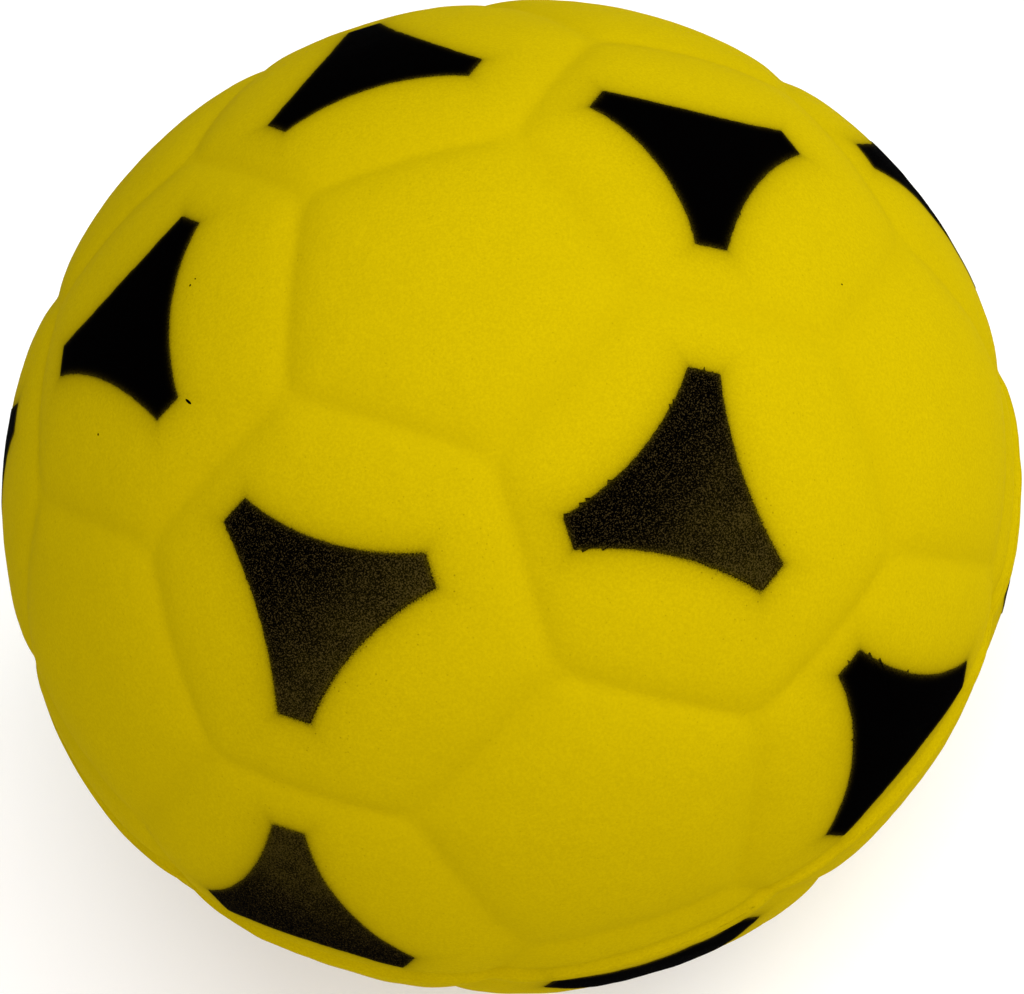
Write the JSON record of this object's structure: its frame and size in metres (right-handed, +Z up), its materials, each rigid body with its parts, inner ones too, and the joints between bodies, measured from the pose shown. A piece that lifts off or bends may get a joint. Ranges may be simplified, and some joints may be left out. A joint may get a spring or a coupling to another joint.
{
  "type": "stress ball",
  "caption": "Hand-sized squeezable foam ball with moulded football panel seams and sprayed black three-armed patches, on a yellow self-skinned foam body.",
  "frame": {"origin": "centre of the ball, where the squeeze axis crosses the mould's parting plane", "axes": "+Z up along the axis on which the mould opened and the ball is squeezed, through the middle of a pentagon panel; -Z leaves through the trimmed filling stub that the ball stands on; -Y is the front, with a pentagon of the upper ring facing it; the parting plane is z = 0"},
  "size_m": [0.0704, 0.0704, 0.0695],
  "materials": {
    "foam_skin": "matte self-skinned polyurethane foam, bright yellow, with a fine open grain",
    "core_foam": "matte open-cell polyurethane foam, the same yellow, seen only at the trimmed filling stub",
    "black_paint": "dull sprayed black ink, thin enough in places for the foam's grain to show brown through it"
  },
  "bodies": {
    "lower_half": {"foam_core": "core_foam", "lower_skin": "foam_skin", "lower_patch_01": "black_paint", "lower_patch_02": "black_paint", "lower_patch_03": "black_paint", "lower_patch_04": "black_paint", "lower_patch_05": "black_paint", "lower_patch_06": "black_paint", "lower_patch_07": "black_paint", "lower_patch_08": "black_paint", "lower_patch_09": "black_paint", "lower_patch_10": "black_paint"},
    "upper_half": {"upper_skin": "foam_skin", "upper_patch_01": "black_paint", "upper_patch_02": "black_paint", "upper_patch_03": "black_paint", "upper_patch_04": "black_paint", "upper_patch_05": "black_paint", "upper_patch_06": "black_paint", "upper_patch_07": "black_paint", "upper_patch_08": "black_paint", "upper_patch_09": "black_paint", "upper_patch_10": "black_paint"}
  },
  "joints": [
    {"name": "squeeze", "type": "slide", "parent": "lower_half", "child": "upper_half", "axis": [0, 0, -1], "range_m": [0, 0.025], "stiffness_N_per_m": 1400, "deforming": ["foam_core", "lower_skin", "lower_patch_01", "lower_patch_02", "lower_patch_03", "lower_patch_04", "lower_patch_05", "lower_patch_06", "lower_patch_07", "lower_patch_08", "lower_patch_09", "lower_patch_10", "upper_skin", "upper_patch_01", "upper_patch_02", "upper_patch_03", "upper_patch_04", "upper_patch_05", "upper_patch_06", "upper_patch_07", "upper_patch_08", "upper_patch_09", "upper_patch_10"]}
  ]
}
